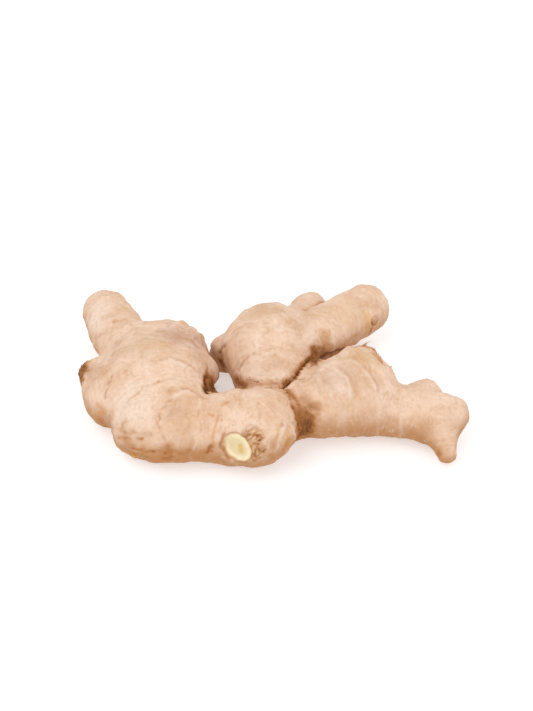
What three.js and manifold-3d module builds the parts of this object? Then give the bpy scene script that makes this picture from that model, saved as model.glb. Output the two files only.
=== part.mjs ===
// A hand of fresh ginger: one rhizome, grown as a knob that carries three thick lobes with fingers and buds.
// Millimetres, +Z up, lying on the plane z = 0 with its middle over the origin.
// The front of the hand, with the cut stem, faces -Y.
import * as THREE from "three";
import { mergeVertices } from "three/addons/utils/BufferGeometryUtils.js";
import Module from "manifold-3d";

const wasm = await Module();
wasm.setup();

// Mesh fineness
const CELL = 2.8; // side of a cell of the grid that the skin is drawn on
const AXIS_STEP = 2; // length of the straight stretches that stand for a lobe's axis
const PROBE = 0.05; // how far apart the field is read to find its slope
const MAX_STEP = 1; // how far a vertex moves towards the skin at once
const GRID_LOW = new THREE.Vector3(-88, -62, -8);
const GRID_HIGH = new THREE.Vector3(90, 62, 48);

// Skin relief
const RING_HEIGHT = 0.45; // how far a leaf-scale ring stands out
const RING_WANDER = 1.3; // how far a ring strays along its lobe as it goes round
const LUMP_HEIGHT = 0.5; // slow unevenness of the whole skin
const LUMP_LENGTH = 11;

// Where lobes meet
const BLEND = 5.5; // width of the soft hollow between two lobes

// The lobes. An axis point is [x, y, z, radius], rings is the distance between the lobe's leaf-scale rings,
// and flat is its thickness over its width, where that isn't 1.
const LOBES = [
  {
    name: "knob", rings: 9,
    axis: [[-11.4, -32.6, 14.2, 13.4], [-5.4, -33.4, 14.4, 14.4], [1.1, -29.7, 17.1, 9.5]],
  },
  {
    name: "bridge", rings: 10,
    axis: [[-43.4, -31.2, 14, 13.6], [-29.8, -31.2, 13.6, 13], [-17.8, -31.8, 13.6, 12.4]],
  },
  {
    name: "left lobe", rings: 9, flat: 0.84,
    axis: [[-41.4, -30.2, 14.6, 13.6], [-44.4, -12.2, 17.2, 20.4], [-42.4, 5.3, 16.6, 18]],
  },
  { name: "left side", rings: 9, axis: [[-47.4, -10.2, 14.6, 18], [-62, -13.4, 13.2, 12.5]] },
  {
    name: "left finger", rings: 8,
    axis: [
      [-54.4, 4.8, 16.1, 13], [-58.9, 14.8, 16.1, 11.8],
      [-63.8, 27.3, 15.1, 11.3], [-68.8, 39.8, 14.1, 9.8],
    ],
  },
  { name: "old bud", rings: 6, axis: [[-62.4, -7.2, 14.6, 9], [-71.6, -3.2, 14.6, 5.2]] },
  { name: "foot", rings: 7, axis: [[-43.4, -28.2, 12.6, 11], [-53.2, -32, 11.6, 8.5]] },
  { name: "left nub", rings: 6, axis: [[-32.4, 0.4, 14.6, 8], [-25.6, -0.4, 13.6, 4.5]] },
  {
    name: "back lobe", rings: 9,
    axis: [
      [-3.4, -26.2, 10.6, 9], [-1.4, -15.2, 10.1, 9],
      [-0.8, 1.8, 15.6, 15], [-0.4, 11.8, 18, 18], [2.6, 15.8, 17.6, 15],
    ],
  },
  { name: "back web", rings: 9, axis: [[1.6, -16.2, 11.6, 8.5], [13.6, -2.6, 14.1, 8]] },
  { name: "back nub", rings: 6, axis: [[-10.4, 15.8, 11.2, 8.5], [-20.2, 18.8, 5.6, 5.7]] },
  {
    name: "back finger", rings: 8,
    axis: [
      [4.6, 11.8, 16.6, 13], [15.6, 16.6, 16.6, 10.5],
      [27.6, 28.3, 16.6, 10.2], [39.6, 40.3, 15.6, 10.2],
    ],
  },
  { name: "hidden finger", rings: 7, axis: [[6.6, 21.8, 14.6, 9], [17, 43.8, 13.1, 7.4]] },
  { name: "finger web", rings: 8, axis: [[12, 20.4, 13.6, 9], [19.4, 31.8, 13.1, 7]] },
  {
    name: "right lobe", rings: 8, flat: 0.95,
    axis: [[15.6, -20.2, 13, 9.6], [24.6, -16.7, 15.8, 15.6], [33.6, -12.7, 16.6, 17.2]],
  },
  { name: "right neck", rings: 7, axis: [[-1.4, -26.2, 9.1, 7.5], [15.6, -20.2, 11.1, 8]] },
  {
    name: "right end", rings: 8,
    axis: [[36.6, -17.2, 12.6, 11], [50.6, -21.2, 11.6, 9], [64.6, -22.2, 11.6, 8.6]],
  },
  { name: "right bud", rings: 6, axis: [[50.6, -17.2, 10.6, 7], [62.6, -7.7, 10.1, 6.7]] },
  { name: "right tip", rings: 6, axis: [[60.6, -22.2, 11.6, 8.6], [72.1, -21.8, 12.1, 6.8]] },
  { name: "low bud", rings: 6, axis: [[66.6, -26.2, 9.6, 7], [68.6, -36.7, 5.2, 4.4]] },
  { name: "dry bud", rings: 6, axis: [[-5.2, -38.4, 15.6, 7], [-4.5, -45.7, 17, 3.8]] },
  { name: "stem", rings: 20, axis: [[-8.4, -39.4, 15.6, 5.4], [-11.7, -45.6, 17, 5.4]] },
];

// The stem is cut off flat, this far past the end of its axis.
const STEM_LEFT = 0.6;
const CUT_RADIUS = 6.2;
const CUT_LENGTH = 12;

// A lobe's axis as short straight stretches, each with its start, radius and distance from the root.
function stretchesOf({ axis }) {
  const line = new THREE.CatmullRomCurve3(axis.map(([x, y, z]) => new THREE.Vector3(x, y, z)));
  const girth = new THREE.CatmullRomCurve3(axis.map((point) => new THREE.Vector3(point[3], 0, 0)));
  const steps = Math.ceil(line.getLength() / AXIS_STEP);
  const stations = Array.from({ length: steps + 1 }, (_, i) => i / steps);
  const points = stations.map((t) => line.getPoint(t));
  const radii = stations.map((t) => girth.getPoint(t).x);
  let run = 0;
  return points.slice(1).map((end, i) => {
    const along = end.clone().sub(points[i]);
    const length = along.length();
    const stretch = { from: points[i], along, length, radius: radii[i], grow: radii[i + 1] - radii[i], run };
    run += length;
    return stretch;
  });
}

const lobes = LOBES.map((lobe) => ({ flat: 1, ...lobe, stretches: stretchesOf(lobe) }));

// How far a point is outside one lobe's skin, with the rings raised on it.
function outsideLobe(lobe, x, y, z) {
  let nearest = Infinity;
  let run = 0;
  for (const { from, along, length, radius, grow, run: start } of lobe.stretches) {
    const dx = x - from.x;
    const dy = y - from.y;
    const dz = z - from.z;
    const share = (dx * along.x + dy * along.y + dz * along.z) / (length * length);
    const t = Math.min(1, Math.max(0, share));
    const rise = (dz - t * along.z) / lobe.flat;
    const gap = Math.hypot(dx - t * along.x, dy - t * along.y, rise) - radius - t * grow;
    if (gap < nearest) {
      nearest = gap;
      run = start + t * length;
    }
  }
  const stray = RING_WANDER * Math.sin(x / 5 + z / 4) * Math.cos(y / 6);
  const crest = 0.5 + 0.5 * Math.cos((2 * Math.PI * (run + stray)) / lobe.rings);
  return nearest - RING_HEIGHT * crest * crest;
}

// Two skins joined with a soft hollow between them.
function blend(a, b) {
  const near = Math.max(BLEND - Math.abs(a - b), 0) / BLEND;
  return Math.min(a, b) - (near * near * BLEND) / 4;
}

// How far a point is outside the whole hand.
function outsideHand(x, y, z) {
  const across = Math.sin(x / LUMP_LENGTH + 0.6) * Math.sin(y / LUMP_LENGTH + 1.1);
  const upward = Math.sin(z / LUMP_LENGTH + (x - y) / (2 * LUMP_LENGTH));
  const plain = lobes.reduce((far, lobe) => blend(far, outsideLobe(lobe, x, y, z)), Infinity);
  return plain - (LUMP_HEIGHT * (across + upward)) / 2;
}

// The eight corners of a grid cell, and its twelve edges as pairs of corners.
const CORNERS = [0, 1, 2, 3, 4, 5, 6, 7].map((c) => new THREE.Vector3(c & 1, (c >> 1) & 1, c >> 2));
const EDGES = CORNERS.flatMap((a, p) =>
  CORNERS.flatMap((b, q) => (p < q && a.manhattanDistanceTo(b) === 1 ? [[p, q]] : [])),
);

// Fills in grid points where two sheets of skin would touch along an edge, so that they join there instead.
function joinSheets(values, strides) {
  const { x, y, z } = strides;
  const faces = [[x, y], [y, z], [z, x]];
  let joined = true;
  while (joined) {
    joined = false;
    for (const [u, v] of faces)
      for (let at = 0; at + u + v < values.length; at++) {
        const inside = values[at] < 0;
        if (inside !== values[at + u + v] < 0) continue;
        if (inside === values[at + u] < 0 || inside === values[at + v] < 0) continue;
        values[inside ? at + u : at] = -PROBE;
        joined = true;
      }
  }
}

// The closed skin where a field is zero, with one vertex in each grid cell that the skin crosses.
function skinOf(field, low, high) {
  const [across, deep, tall] = high.clone().sub(low).divideScalar(CELL).ceil().addScalar(1).toArray();
  const strides = new THREE.Vector3(1, across, across * deep);
  const values = new Float32Array(across * deep * tall);
  for (let k = 0; k < tall; k++)
    for (let j = 0; j < deep; j++)
      for (let i = 0; i < across; i++) {
        const at = i + j * strides.y + k * strides.z;
        values[at] = field(low.x + i * CELL, low.y + j * CELL, low.z + k * CELL);
      }
  joinSheets(values, strides);

  const vertices = [];
  const vertexOf = new Map();
  for (let k = 0; k + 1 < tall; k++)
    for (let j = 0; j + 1 < deep; j++)
      for (let i = 0; i + 1 < across; i++) {
        const at = i + j * strides.y + k * strides.z;
        const there = CORNERS.map((corner) => values[at + corner.dot(strides)]);
        const crossed = EDGES.filter(([p, q]) => there[p] < 0 !== there[q] < 0);
        if (!crossed.length) continue;
        const middle = new THREE.Vector3();
        for (const [p, q] of crossed) {
          const share = there[p] / (there[p] - there[q]);
          middle.add(CORNERS[p].clone().lerp(CORNERS[q], share));
        }
        middle.divideScalar(crossed.length).add(new THREE.Vector3(i, j, k));
        vertexOf.set(at, vertices.push(middle.multiplyScalar(CELL).add(low)) - 1);
      }

  const quads = [];
  for (let k = 1; k + 1 < tall; k++)
    for (let j = 1; j + 1 < deep; j++)
      for (let i = 1; i + 1 < across; i++) {
        const at = i + j * strides.y + k * strides.z;
        const inside = values[at] < 0;
        for (const axis of [0, 1, 2]) {
          if (inside === values[at + strides.getComponent(axis)] < 0) continue;
          const u = strides.getComponent((axis + 1) % 3);
          const v = strides.getComponent((axis + 2) % 3);
          const ring = [at, at - u, at - u - v, at - v].map((cell) => vertexOf.get(cell));
          quads.push(inside ? ring : ring.reverse());
        }
      }
  return { vertices, quads };
}

// Moves a point onto the skin, along the field's slope.
function settle(point) {
  for (let pass = 0; pass < 3; pass++) {
    const { x, y, z } = point;
    const here = outsideHand(x, y, z);
    const slope = new THREE.Vector3(
      outsideHand(x + PROBE, y, z) - here,
      outsideHand(x, y + PROBE, z) - here,
      outsideHand(x, y, z + PROBE) - here,
    ).divideScalar(PROBE);
    const step = -here / Math.max(slope.lengthSq(), 0.3);
    point.addScaledVector(slope, Math.min(MAX_STEP, Math.max(-MAX_STEP, step)));
  }
}

// Moves each vertex most of the way to the middle of its neighbours.
function even({ vertices, quads }) {
  const sums = vertices.map(() => ({ total: new THREE.Vector3(), count: 0 }));
  for (const ring of quads)
    ring.forEach((v, i) => {
      sums[v].total.add(vertices[ring[(i + 1) % 4]]);
      sums[v].count++;
    });
  vertices.forEach((vertex, v) => vertex.lerp(sums[v].total.divideScalar(sums[v].count), 0.6));
}

// The skin as a geometry: evened out, settled on the field, and flat where it lies on the ground.
function rhizomeGeometry() {
  const skin = skinOf(outsideHand, GRID_LOW, GRID_HIGH);
  const { vertices, quads } = skin;
  for (let pass = 0; pass < 6; pass++) {
    even(skin);
    vertices.forEach(settle);
  }
  for (const vertex of vertices) vertex.z = Math.max(vertex.z, 0);
  const triangles = quads.flatMap(([a, b, c, d]) => {
    const shortWay = vertices[a].distanceTo(vertices[c]) < vertices[b].distanceTo(vertices[d]);
    return shortWay ? [a, b, c, a, c, d] : [a, b, d, b, c, d];
  });
  return new THREE.BufferGeometry().setFromPoints(vertices).setIndex(triangles);
}

// The round block that is cut away past the end of the stem.
function stemCutGeometry() {
  const [foot, end] = LOBES.find(({ name }) => name === "stem").axis.map((p) => new THREE.Vector3(...p));
  const way = end.clone().sub(foot).normalize();
  const middle = end.clone().addScaledVector(way, STEM_LEFT + CUT_LENGTH / 2);
  const turn = new THREE.Quaternion().setFromUnitVectors(new THREE.Vector3(0, 1, 0), way);
  const block = new THREE.CylinderGeometry(CUT_RADIUS, CUT_RADIUS, CUT_LENGTH, 24);
  return block.applyQuaternion(turn).translate(...middle);
}

// A closed solid from a geometry.
function solidOf(geometry) {
  const bare = geometry.clone();
  bare.deleteAttribute("normal");
  bare.deleteAttribute("uv");
  const merged = mergeVertices(bare);
  const vertProperties = merged.attributes.position.array;
  const triVerts = new Uint32Array(merged.index.array);
  return new wasm.Manifold(new wasm.Mesh({ numProp: 3, vertProperties, triVerts }));
}

// A geometry from a closed solid.
function geometryOf(solid) {
  const { vertProperties, triVerts } = solid.getMesh();
  const geometry = new THREE.BufferGeometry();
  geometry.setAttribute("position", new THREE.BufferAttribute(vertProperties, 3));
  geometry.setIndex(new THREE.BufferAttribute(triVerts, 1));
  geometry.computeVertexNormals();
  return geometry;
}

const cutHand = geometryOf(solidOf(rhizomeGeometry()).subtract(solidOf(stemCutGeometry())));
cutHand.computeBoundingBox();
const middle = cutHand.boundingBox.getCenter(new THREE.Vector3());
cutHand.translate(-middle.x, -middle.y, 0);

const skin = new THREE.MeshStandardMaterial({ color: 0xd9b48f, roughness: 0.7, metalness: 0 });
const rhizome = new THREE.Mesh(cutHand, skin);
rhizome.name = "rhizome";

const hand = new THREE.Group();
hand.add(rhizome);

export default hand;
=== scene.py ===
"""A ginger root in its thin ringed skin, lying on a pale floor.

Lengths are millimetres unless they say otherwise.
"""

import math

import bmesh
import bpy
import numpy as np
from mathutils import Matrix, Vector
from mathutils.bvhtree import BVHTree


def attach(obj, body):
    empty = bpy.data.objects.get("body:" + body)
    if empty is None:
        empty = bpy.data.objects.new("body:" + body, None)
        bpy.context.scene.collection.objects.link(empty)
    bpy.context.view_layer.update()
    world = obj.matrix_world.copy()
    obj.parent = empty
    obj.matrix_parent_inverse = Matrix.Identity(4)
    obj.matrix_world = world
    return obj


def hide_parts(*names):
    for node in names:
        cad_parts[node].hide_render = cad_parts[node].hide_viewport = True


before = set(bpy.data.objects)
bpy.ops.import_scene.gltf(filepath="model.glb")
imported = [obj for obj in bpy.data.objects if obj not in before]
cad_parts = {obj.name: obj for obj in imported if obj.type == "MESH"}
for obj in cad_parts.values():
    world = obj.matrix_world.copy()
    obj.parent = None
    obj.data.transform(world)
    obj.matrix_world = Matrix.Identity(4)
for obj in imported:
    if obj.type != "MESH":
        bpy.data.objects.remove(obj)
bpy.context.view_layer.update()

MM = 0.001

# Camera: it looks down at the root from the front
AIM = (-1.4, 9.8, 15.6)
CAMERA_DISTANCE = 643
CAMERA_PITCH = math.radians(40)
LENS = 80
SENSOR = 36
VIEW_DEPTH = 20000

# Light and floor, in metres and watts. Lamps: name, place, size, power
SKY_COLOUR = (1, 0.967, 0.917, 1)
SKY_STRENGTH = 0.66
LAMPS = [
    ("key", (-0.5, -0.3, 0.85), 0.8, 4.1),
    ("fill", (0.6, -0.6, 0.5), 0.6, 1.5),
    ("rim", (0.55, 0.4, 0.6), 0.5, 1.4),
]
FLOOR_HALF = 6.0
FLOOR_COLOUR = (0.68, 0.7, 0.74, 1)
FLOOR_GLOW = 0.46

# Skin mesh: its cell size, the strength of a pass of blur, and the passes that smooth it and find hollows
VOXEL = 0.66
BLUR_SHARE = 0.7
SMOOTH_PASSES = 5
WIDE_HOLLOW_PASSES = 90
NARROW_HOLLOW_PASSES = 14

# Relief: heights of coarse lumps, fine lumps and wrinkles, and how much longer than wide a wrinkle is
LUMP_HEIGHT = 0.14
FINE_LUMP_HEIGHT = 0.06
WRINKLE_HEIGHT = 0.05
WRINKLE_STRETCH = 5

# Axes of the grown lobes: name, ring spacing, ring height, points (x, y, z, radius)
LOBES = [
    ("knob", 9, 0.1, [(-11.4, -32.6, 14.2, 13.4), (-5.4, -33.4, 14.4, 14.4), (1.1, -29.7, 17.1, 9.5)]),
    ("bridge", 10, 0.08, [(-43.4, -31.2, 14, 13.6), (-29.8, -31.2, 13.6, 13), (-17.8, -31.8, 13.6, 12.4)]),
    ("left lobe", 9, 0.18, [(-41.4, -30.2, 14.6, 13.6), (-44.4, -12.2, 17.2, 20.4), (-42.4, 5.3, 16.6, 18)]),
    ("left side", 9, 0.12, [(-47.4, -10.2, 14.6, 18), (-62, -13.4, 13.2, 12.5)]),
    ("left finger", 8, 0.1, [(-54.4, 4.8, 16.1, 13), (-58.9, 14.8, 16.1, 11.8), (-63.8, 27.3, 15.1, 11.3),
        (-68.8, 39.8, 14.1, 9.8)]),
    ("old bud", 6, 0.15, [(-62.4, -7.2, 14.6, 9), (-71.6, -3.2, 14.6, 5.2)]),
    ("foot", 7, 0.15, [(-43.4, -28.2, 12.6, 11), (-53.2, -32, 11.6, 8.5)]),
    ("left nub", 6, 0.1, [(-32.4, 0.4, 14.6, 8), (-25.6, -0.4, 13.6, 4.5)]),
    ("back lobe", 9, 0.16, [(-3.4, -26.2, 10.6, 9), (-1.4, -15.2, 10.1, 9), (-0.8, 1.8, 15.6, 15),
        (-0.4, 11.8, 18, 18), (2.6, 15.8, 17.6, 15)]),
    ("back nub", 6, 0.12, [(-10.4, 15.8, 11.2, 8.5), (-20.2, 18.8, 5.6, 5.7)]),
    ("back finger", 8, 0.08, [(4.6, 11.8, 16.6, 13), (15.6, 16.6, 16.6, 10.5), (27.6, 28.3, 16.6, 10.2),
        (39.6, 40.3, 15.6, 10.2)]),
    ("hidden finger", 7, 0.14, [(6.6, 21.8, 14.6, 9), (17, 43.8, 13.1, 7.4)]),
    ("right lobe", 8, 0.07, [(15.6, -20.2, 13, 9.6), (24.6, -16.7, 15.8, 15.6), (33.6, -12.7, 16.6, 17.2)]),
    ("right end", 8, 0.18, [(36.6, -17.2, 12.6, 11), (50.6, -21.2, 11.6, 9), (64.6, -22.2, 11.6, 8.6)]),
    ("right bud", 6, 0.14, [(50.6, -17.2, 10.6, 7), (62.6, -7.7, 10.1, 6.7)]),
    ("right tip", 6, 0.14, [(60.6, -22.2, 11.6, 8.6), (72.1, -21.8, 12.1, 6.8)]),
    ("low bud", 6, 0.14, [(66.6, -26.2, 9.6, 7), (68.6, -36.7, 5.2, 4.4)]),
    ("dry bud", 1.5, 0, [(-5.2, -38.4, 15.6, 7), (-4.5, -45.7, 17, 3.8)]),
    ("stem", 20, 0, [(-8.4, -39.4, 15.6, 5.4), (-11.7, -45.6, 17, 5.4)]),
]
RING_WANDER = 1.3
RING_WIDTH = 0.8

# The cut stem: middle of its flat face, the way it faces, the long way across it, its mean radius and
# half lengths, the dip in the face, the groove and the rim round it, and the darker heart
CUT_CENTRE = np.array([-12.2, -46.2, 17.3])
CUT_FACING = np.array([-0.458, -0.866, 0.199])
CUT_LONG = np.array([0.56, -0.46, -0.69])
CUT_RADIUS = 5.8
CUT_HALF_LONG = 6.1
CUT_HALF_SHORT = 5.4
DISH_DEPTH = 0.3
GROOVE_DEPTH = 0.4
RIM_HEIGHT = 0.35
HEART = [(-11.4, -46.3, 17.8), (-11, -46.9, 15.7)]
HEART_RADIUS = 1.5

# The small round eye near the end of the back finger: a button, the dip round it, the rim round that, and
# which side of it gets a painted highlight
EYE = np.array([43.7, 29.1, 18.1])
EYE_RADIUS = 1.5
EYE_HEIGHT = 1.2
EYE_DIP = 0.4
EYE_RIM = 0.3
EYE_HIGHLIGHT_SIDE = (0.7, 0.3, 0.6)

# Creases: path on the skin, half width, depth, how dark it is painted, partly brown and partly painted shade
# in the crease
CREASES = [
    ([(-61.3, -17.4, 27.8), (-61.4, -18.9, 27.2), (-62.6, -20, 26.2), (-62.5, -21.2, 25.2),
      (-63.9, -21.8, 23.4), (-64.4, -22.9, 21.2)], 0.55, 0.4, 0.34),
    ([(-63.2, -19.2, 26.4), (-64.6, -20.6, 24.4)], 1.8, 0.2, 0.14),
    ([(-63.3, 17.5, 26.9), (-60.9, 18.2, 27.4), (-58.5, 18.8, 27.4)], 0.7, 0.25, 0.15),
    ([(-71.6, 17, 18.9), (-67.2, 12.8, 24.5), (-66.1, 15.3, 25.5)], 0.8, 0.25, 0.15),
    ([(-42.6, -25.3, 31.8), (-45.3, -26, 31.9), (-49.1, -27.2, 29.9), (-52.2, -28.7, 28.2),
      (-54.8, -30.8, 26)], 0.5, 0.3, 0.18),
    ([(-37.9, -28.3, 30.4), (-34.6, -26.6, 29.9), (-30.8, -25.5, 28.4), (-27.7, -27.1, 27.2),
      (-25.7, -29.1, 27)], 0.9, 0.35, 0.2),
    ([(-38.8, -13.2, 34.3), (-34.2, -13.8, 32.8), (-30.2, -14.2, 30.5), (-27.6, -15.6, 28.2)], 0.8, 0.3,
     0.2),
    ([(-37.4, -31.7, 28.8), (-40.7, -35.4, 28), (-41.8, -38.1, 26.3), (-42.5, -40.6, 25),
      (-41, -43.4, 21.9), (-39.7, -44.7, 19.6), (-39.2, -45.1, 17.8)], 0.5, 0.35, 0.26),
    ([(-25.4, -4.6, 23.3), (-25, -7, 22.2), (-24.9, -9.3, 21.6)], 0.6, 0.5, 0.55),
    ([(-25, -9.5, 21.8), (-25.4, -14, 23.8), (-24.9, -18.6, 23.4), (-24.6, -23, 24.4)], 1.6, 0.8, 0.95),
    ([(-23.6, -11, 18.6), (-23.2, -15, 20.4), (-23, -19, 21.8)], 3, 0.1, 0.9),
    # Painted shade: the next three darken the underside of the back nub and the crevice under the back finger
    ([(-20.2, 11.5, 11.3), (-19.6, 11.3, 8.6), (-18.8, 11.9, 5.2)], 1.6, 0.3, 0.85),
    ([(19.5, 3, 18.5), (24.2, 9, 16.5), (28.7, 13.7, 14.5), (33, 19, 11)], 1.4, 0.8, 0.95),
    ([(21, 3.5, 16), (25.5, 9, 14), (30, 14, 12), (34, 19, 9.5)], 2.4, 0.2, 0.85),
    # Painted shade: the next three are tan lines just beside the raised arcs on the right lobe
    ([(26.2, -16.4, 31.8), (29.8, -20.2, 31.1), (32.1, -23.6, 29.3), (32.3, -27.4, 26.2)], 0.9, 0.2, 0.14),
    ([(32.1, -11.9, 32.9), (36.6, -16.3, 32.3), (40, -20.3, 29.9), (42.2, -23.9, 26.6)], 0.9, 0.2, 0.14),
    ([(17.2, -14.4, 27.7), (19.8, -18.8, 29.6), (21.2, -22.1, 28.7)], 0.9, 0.2, 0.12),
    ([(-9.4, -44, 25), (-7, -42.6, 25.9), (-4.8, -43.5, 25.1), (-2.6, -45.2, 23.5)], 0.7, 0.4, 0.25),
    ([(-66.7, -24.4, 11.3), (-64.6, -24, 7.7)], 1.2, 0.5, 0.3),
    ([(-61.3, -31.4, 14), (-57.6, -36.7, 18.3), (-55, -37, 21.7)], 0.8, 0.4, 0.25),
    ([(-58, -38.3, 15.1), (-54.3, -40.8, 17), (-48.7, -43.7, 19.1)], 0.9, 0.5, 0.4),
    ([(-59.2, -36.3, 16.4), (-53.4, -40.2, 19.4), (-45.5, -43.5, 21.5)], 0.9, 0.45, 0.25),
    ([(-48, -44.9, 15), (-43.8, -45.8, 14.3), (-39.2, -45.8, 14.9), (-35.5, -45.3, 13.8),
      (-33.6, -44.7, 14.6), (-30.6, -44.5, 13.6)], 1, 0.4, 0.24),
    ([(-52.8, -42.8, 13.1), (-49.6, -44.6, 14.2), (-46.4, -45.6, 14.8), (-43.5, -45.3, 14.4)], 0.6, 0.3,
     0.6),
    ([(-45, -45.5, 14), (-42.8, -45.5, 12.5), (-39.7, -45.7, 13.7)], 0.6, 0.3, 0.7),
    ([(-41.2, -45.6, 12.2), (-39.6, -45.6, 10.6), (-37, -45.5, 11.6)], 0.6, 0.3, 0.7),
    ([(-41, -45.6, 10.2), (-38.6, -45.4, 8.8)], 0.6, 0.25, 0.6),
    ([(-37.4, -45.1, 14.7), (-34.4, -44.9, 13.5), (-30.6, -44.2, 12.3)], 0.6, 0.25, 0.58),
    ([(-22.1, -44.5, 16.2), (-23.7, -44.5, 14.1), (-24.5, -44.6, 12.7)], 0.7, 0.35, 0.72),
    ([(-23.2, -44.8, 13.6), (-21.8, -45.4, 13.4)], 0.6, 0.3, 0.64),
    ([(-17.1, -44.3, 22), (-18.5, -45.4, 19.2), (-18.7, -45.6, 16.7), (-16.7, -46.3, 12.9),
      (-15.3, -46.9, 11.7)], 0.6, 0.45, 0.4),
    ([(-17.8, 6.5, 24), (-19.5, 11, 18.5), (-20.8, 12.8, 14.9)], 0.8, 0.5, 0.42),
    ([(-18.8, 9.5, 18.5), (-20.2, 11, 15), (-19.6, 10.8, 12)], 0.7, 0.4, 0.4),
    # Painted shade under the back nub
    ([(-19.2, 11, 13), (-18.4, 10.1, 9.4)], 1, 0.6, 0.75),
    ([(-6.3, -4.7, 28.5), (-10.7, -5.1, 24.7), (-12.5, -6.2, 21.5)], 0.6, 0.35, 0.35),
    ([(7, -22, 21.6), (8.2, -28, 22), (9.6, -30.5, 19.5), (10.6, -32, 15.5), (11, -32.5, 11)], 0.9, 0.6,
     0.75),
    ([(4.4, -39.6, 23), (3.3, -42.2, 21.8), (1.4, -45.5, 19), (1.4, -45.9, 16.7)], 0.9, 0.4, 0.25),
    ([(-0.1, -47.7, 14.6), (1.2, -45.5, 11), (2.6, -43.4, 8.4)], 0.9, 0.45, 0.3),
    ([(42.5, 27.9, 15.3), (41.7, 27.8, 13.3)], 0.6, 0.4, 0.6),
]

# Raised edges of old scales: path on the skin, half width, height, how pale it is painted, as a pale edge
# with a painted highlight
RIDGES = [
    ([(15.6, -14.9, 26.9), (18.2, -19.3, 29.1), (19.6, -22.4, 28.2), (20.3, -26, 26)], 0.6, 0.35, 0.3),
    ([(20.3, -12.5, 29.5), (25.1, -17.2, 31.4), (28.5, -20.8, 31), (30.7, -24.1, 29.2),
      (30.7, -27.8, 26.3)], 0.6, 0.45, 0.72),
    ([(24.5, -9.5, 31), (29.5, -14.5, 32.3), (33.5, -19, 31.4), (36, -23, 28.5)], 0.6, 0.35, 0.2),
    ([(30.7, -12.6, 32.6), (35.2, -16.8, 32.6), (38.6, -20.6, 30.2), (40.9, -24.2, 26.7)], 0.6, 0.4, 0.62),
    ([(-38.8, -14.8, 34.1), (-34.2, -15.5, 32.7), (-30.4, -15.8, 30.4), (-28.1, -16.8, 28.2)], 0.9, 0.3,
     0.5),
    ([(-37.1, -31.2, 28.9), (-34.5, -28.6, 29.1), (-31.2, -26.7, 28.2), (-28.5, -27.6, 27.5)], 0.8, 0.3,
     0.6),
    ([(-26.9, -29.9, 27.2), (-27.1, -35.2, 26.3), (-27.8, -38.6, 24.7), (-27.8, -41.8, 21.5),
      (-28, -44.1, 16.9), (-29.4, -44.5, 14.4)], 0.5, 0.3, 0.45),
    ([(5.6, -39.1, 22.6), (4.5, -41.8, 21.5), (2.6, -45.2, 19), (2.6, -45.5, 16.7)], 0.9, 0.45, 0.6),
    ([(8.4, -36.8, 20), (9.1, -37.4, 16.9), (9.6, -36.2, 12.6)], 0.8, 0.4, 0.6),
    ([(-8.4, -42.8, 25.3), (-6.3, -41.3, 25.8), (-5.9, -42.7, 25.2)], 0.8, 0.6, 0.5),
    ([(-0.5, -44.6, 22.3), (-1.8, -46.2, 21.9), (-2.2, -47.7, 20.8)], 0.7, 0.35, 0.5),
    ([(-5.9, -1.1, 31.2), (-5.2, -2.8, 30.6), (-5.1, -3.7, 29.8)], 0.6, 0.8, 0.9),
    ([(-13.1, -6, 20.3), (-7.9, -11.4, 22.3), (-2, -13.3, 22.9), (3.9, -12.9, 23.1)], 0.7, 0.25, 0.35),
    ([(-11.9, -5.9, 22.3), (-5.9, -10.7, 23.8), (0, -11.7, 24.2), (5.9, -10.4, 24.1)], 0.7, 0.2, 0.25),
    ([(-40.5, 20, 24), (-41.3, 16.6, 28.6), (-44, 9, 32)], 1.5, 0.5, 0.2),
    ([(-34, 20, 22), (-34.9, 17.9, 25.8), (-37, 12, 30), (-41, 5, 33)], 1.2, 1, 0.2),
    ([(-30.5, 18, 21), (-31.5, 14, 26.3), (-34, 8, 30)], 1.1, 0.9, 0.2),
    ([(-27.5, 15, 20), (-28.5, 11, 26), (-31, 5.5, 28.5)], 1.1, 0.8, 0.2),
    ([(-21.5, 13.6, 14.6), (-19.7, 12.9, 17.5), (-18.3, 9, 22)], 0.6, 0.45, 0.6),
    ([(-20.5, 11.5, 13.4), (-19.4, 8.6, 18), (-18.5, 5.6, 22)], 0.6, 0.4, 0.5),
    ([(-9.9, -44.6, 24.1), (-7.6, -43.5, 25.1), (-4.6, -44.2, 24.2), (-2.7, -46.1, 22.9)], 0.6, 0.6, 0.7),
    ([(-11.4, -44.4, 23.9), (-10.3, -43.7, 25.1), (-8.8, -44.4, 24.7)], 0.6, 0.45, 0.5),
]

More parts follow.
